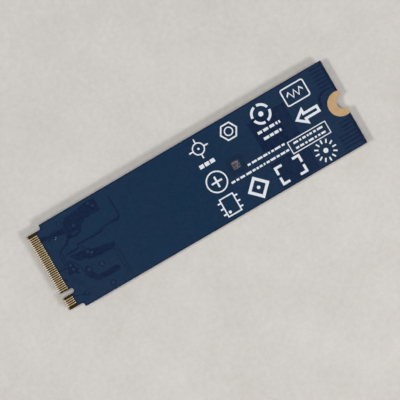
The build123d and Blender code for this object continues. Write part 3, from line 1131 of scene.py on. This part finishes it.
def solder_heap(bm, cap, body, spread):
    """A fillet of solder from the board up the outer end of a part's metal cap."""
    low, high = cap
    away = (low + high) / 2 - (body[0] + body[1]) / 2
    along = 0 if abs(away.x) > abs(away.y) else 1
    across = 1 - along
    sign = 1 if away[along] > 0 else -1
    outer = high[along] if sign > 0 else low[along]
    inner = outer - sign * 0.5 * (high[along] - low[along])
    middle = (low[across] + high[across]) / 2
    half = (high[across] - low[across]) / 2
    height = high.z - low.z
    face = bm.faces.new([bm.verts.new((0.0, 0.0, 0.0)) for corner in range(4)])
    foot = list(face.edges)
    for step, (rise, reach) in enumerate(FILLET_STEPS):
        if step:
            grown = bmesh.ops.extrude_face_region(bm, geom=[face, *face.edges])
            face = next(part for part in grown["geom"] if isinstance(part, bmesh.types.BMFace))
        end = outer + sign * reach * spread
        wide = half + reach * FILLET_SIDE_SHARE * spread
        for vert, (place, side) in zip(face.verts, ((inner, -1), (end, -1), (end, 1), (inner, 1))):
            vert.co[along] = place
            vert.co[across] = middle + side * wide
            vert.co.z = FRONT - rise * height
    for edge in foot:
        edge.smooth = False


def solder_fillets():
    bm = bmesh.new()
    for caps, bodies, spread in SOLDERED:
        body_boxes = [box for name in bodies for box in solids_of(name)]
        for cap in solids_of(caps):
            middle = cap[0] + cap[1]
            nearest = min(body_boxes, key=lambda box: (box[0] + box[1] - middle).length)
            solder_heap(bm, cap, nearest, spread)
    bmesh.ops.recalc_face_normals(bm, faces=bm.faces[:])
    add_piece("solder_fillets", bm, SOLDER, smooth=True)


def contact_leads():
    """Short plating leads from the contacts down the bevels of the tongue."""
    bm = bmesh.new()
    slope = math.atan2(BEVEL_DEPTH, BEVEL_RUN)
    size = (LEAD_SHARE * math.hypot(BEVEL_RUN, BEVEL_DEPTH), LEAD_WIDTH, LEAD_THICKNESS, 1.0)
    for node, level, side in (("back_contacts", BACK, 1), ("front_contacts", FRONT, -1)):
        for box in solids_of(node):
            place = at(BEVEL_RUN / 2, place_of(box)[1], level - side * BEVEL_DEPTH / 2)
            turned = Matrix.Translation(place) @ Matrix.Rotation(-side * slope, 4, "Y")
            bmesh.ops.create_cube(bm, matrix=turned @ Matrix.Diagonal(size))
    add_piece("contact_leads", bm, LEAD)


def ball_grid(node, name):
    """Reflowed balls in the places of a package's ball grid."""
    boxes = solids_of(node)
    low, high = boxes[0]
    radius = (high.x - low.x) / 2
    half = (high.z - low.z) / 2
    ball = bmesh.new()
    squash = Matrix.Diagonal((1.0, 1.0, BALL_PRESS * half / radius, 1.0))
    bmesh.ops.create_uvsphere(ball, u_segments=10, v_segments=5, radius=radius, matrix=squash)
    for vert in ball.verts:
        vert.co.z = min(max(vert.co.z, -half), half)
    shape = new_mesh("stamp", ball)
    bm = bmesh.new()
    for low, high in boxes:
        stamp(bm, shape, (low + high) / 2)
    piece = add_piece(name, bm, SOLDER, smooth=True)
    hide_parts(node)


def front_legend():
    """Corner marks round the parts, and a dot at the first corner of each large package."""
    sheet = Sheet(FRONT - COPPER - INK)
    for room, arm, line, *nodes in MARKED_PARTS:
        for node in nodes:
            low, high = node_box(node)
            s, t = place_of((low, high))
            length = high.x - low.x + room
            width = high.y - low.y + room
            corner_marks(sheet, s, t, length, width, arm, line)
            if node in DOTTED_PARTS:
                sheet.disc(s - length / 2 - DOT_GAP, t - width / 2 - DOT_GAP, DOT_RADIUS, 16)
    add_piece("front_legend", sheet.raised(INK), INK_WHITE)


front_copper_pour()
front_lane_traces()
front_bus_traces()
front_via_tents()
round_pads(
    "front_test_pads", FRONT - COPPER - INK, COPPER + INK, TEST_PADS, TEST_PAD_RADIUS, 20,
    TIN,
)
round_pads("front_fiducials", FRONT - COPPER, COPPER, FIDUCIALS, FIDUCIAL_RADIUS, 24, LAND)
solder_fillets()
contact_leads()
ball_grid("controller_solder_balls", "controller_balls")
ball_grid("flash_solder_balls", "flash_balls")
front_legend()


# Floor, light and camera

FLOOR_RADIUS = 4.0
LENS = 90.0
CAMERA_HEIGHT = 232.97
CAMERA_AT = (5.515, 2.03)
CAMERA_AIM = (-0.383, -2.964)
CAMERA_ROLL = math.radians(30.28)
ROOM_HORIZON = (0.62, 0.60, 0.565)
ROOM_OVERHEAD = (0.10, 0.098, 0.094)
ROOM_DIM_FROM = 0.55


def lay_floor():
    bm = bmesh.new()
    bmesh.ops.create_circle(bm, cap_ends=True, segments=64, radius=FLOOR_RADIUS)
    floor = new_object("floor", new_mesh("floor", bm))
    floor.data.materials.append(floor_board())


def soft_box(name, azimuth, elevation, distance, width, height, share):
    """A lamp that gives a white floor the stated share of its full brightness."""
    around = math.radians(azimuth)
    above = math.radians(elevation)
    level = math.cos(above)
    way = Vector((level * math.cos(around), level * math.sin(around), math.sin(above)))
    light = bpy.data.lights.new(name, "AREA")
    light.shape = "RECTANGLE"
    light.size = width
    light.size_y = height
    light.energy = share * (math.pi * distance) ** 2 / math.sin(above)
    lamp = new_object(name, light)
    lamp.location = way * distance
    lamp.rotation_euler = way.to_track_quat("Z", "Y").to_euler()


def paint_room():
    """A room that is pale at the horizon and dim overhead."""
    world = bpy.data.worlds.new("room")
    world.use_nodes = True
    nodes = world.node_tree.nodes
    links = world.node_tree.links
    way = nodes.new("ShaderNodeTexCoord")
    height = nodes.new("ShaderNodeSeparateXYZ")
    links.new(way.outputs["Generated"], height.inputs[0])
    shade = nodes.new("ShaderNodeValToRGB")
    shade.color_ramp.elements[0].color = (*ROOM_HORIZON, 1.0)
    shade.color_ramp.elements[1].color = (*ROOM_OVERHEAD, 1.0)
    shade.color_ramp.elements[1].position = ROOM_DIM_FROM
    links.new(height.outputs["Z"], shade.inputs["Fac"])
    links.new(shade.outputs["Color"], nodes["Background"].inputs["Color"])
    bpy.context.scene.world = world


def place_camera():
    """The camera looks almost straight down, turned so that the board lies across the picture."""
    camera = bpy.data.cameras.new("camera")
    camera.lens = LENS
    eye = Vector((*CAMERA_AT, BACK + CAMERA_HEIGHT))
    aim = Vector((*CAMERA_AIM, BACK))
    back = (eye - aim).normalized()
    upward = Vector((math.sin(CAMERA_ROLL), math.cos(CAMERA_ROLL), 0.0))
    right = upward.cross(back).normalized()
    axes = Matrix((right, back.cross(right), back)).transposed()
    holder = new_object("camera", camera)
    holder.matrix_world = Matrix.Translation(eye * MM) @ axes.to_4x4()
    bpy.context.scene.camera = holder


lay_floor()
for quarter in range(4):
    soft_box(f"overhead_light_{quarter + 1}", 45.0 + 90.0 * quarter, 74.0, 0.9, 0.1, 0.1, 0.073)
soft_box("tongue_side_light", 172.0, 45.4, 2.0, 0.56, 0.24, 0.298)
soft_box("key_side_light", 306.0, 37.6, 0.9, 0.36, 0.16, 0.277)
paint_room()
place_camera()
bpy.context.scene.view_settings.view_transform = "Standard"
